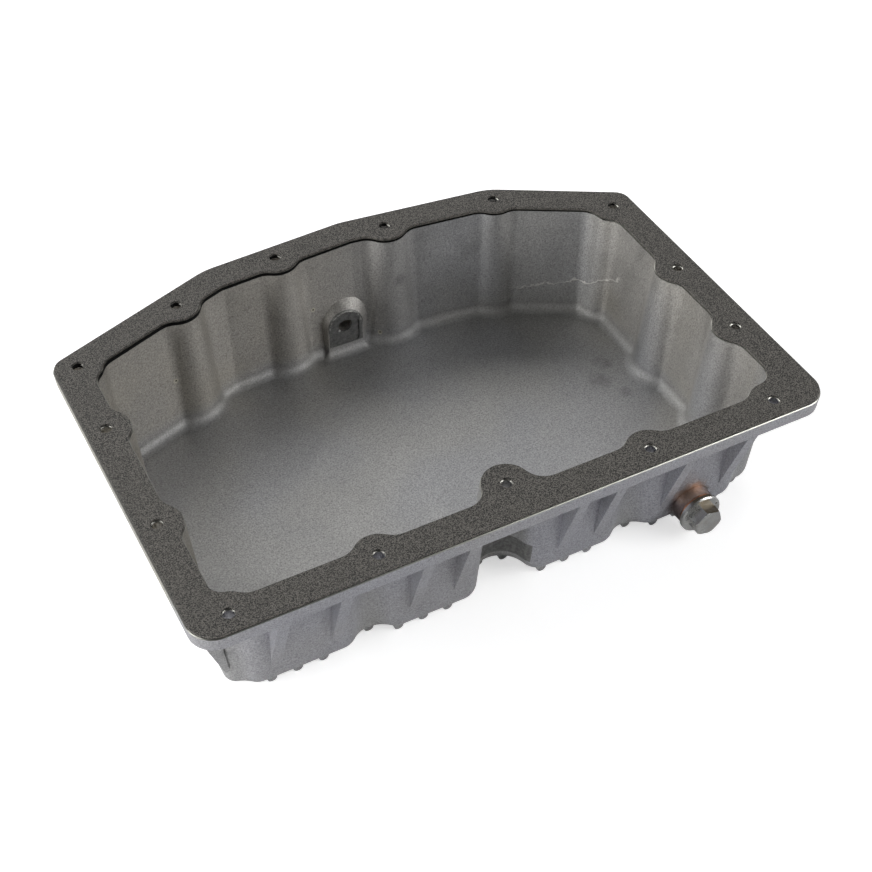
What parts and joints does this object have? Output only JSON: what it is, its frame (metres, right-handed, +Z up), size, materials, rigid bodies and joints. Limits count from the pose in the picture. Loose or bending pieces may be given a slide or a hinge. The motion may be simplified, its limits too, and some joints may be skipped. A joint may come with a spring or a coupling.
{
  "type": "engine oil pan",
  "caption": "Deep cast aluminium oil pan with a bolted flange, fluted walls, ribbed floor, flange gasket and hex drain plug.",
  "frame": {"origin": "on the ground under the middle of the flange's box", "axes": "+Z up through the open mouth, +X along the long straight front edge, +Y towards the angled back edge"},
  "size_m": [0.4, 0.2849, 0.0913],
  "materials": {
    "cast_aluminium": "as cast, shot blasted, with a machined top face",
    "gasket_fibre": "matt speckled rubberised fibre",
    "plated_steel": "dull zinc plate",
    "copper": "copper, stained",
    "port_steel": "dark phosphated steel"
  },
  "bodies": {
    "pan": {"pan_casting": "cast_aluminium", "flange_gasket": "gasket_fibre", "port_plug": "port_steel"},
    "sealing_washer": {"drain_washer": "copper"},
    "plug": {"drain_plug": "plated_steel"}
  },
  "joints": [
    {"name": "drain_plug_travel", "type": "slide", "parent": "pan", "child": "sealing_washer", "axis": [0, -1, 0], "range_m": [0, 0.0181]},
    {"name": "drain_plug_turn", "type": "hinge", "parent": "sealing_washer", "child": "plug", "pos_m": [0.12425, -0.12896, 0.0168], "axis": [0, -1, 0], "range_deg": [0, 4320]}
  ],
  "couplings": [
    {"joint": "drain_plug_travel", "follows": "drain_plug_turn", "m_per_rad": 0.00023873}
  ]
}
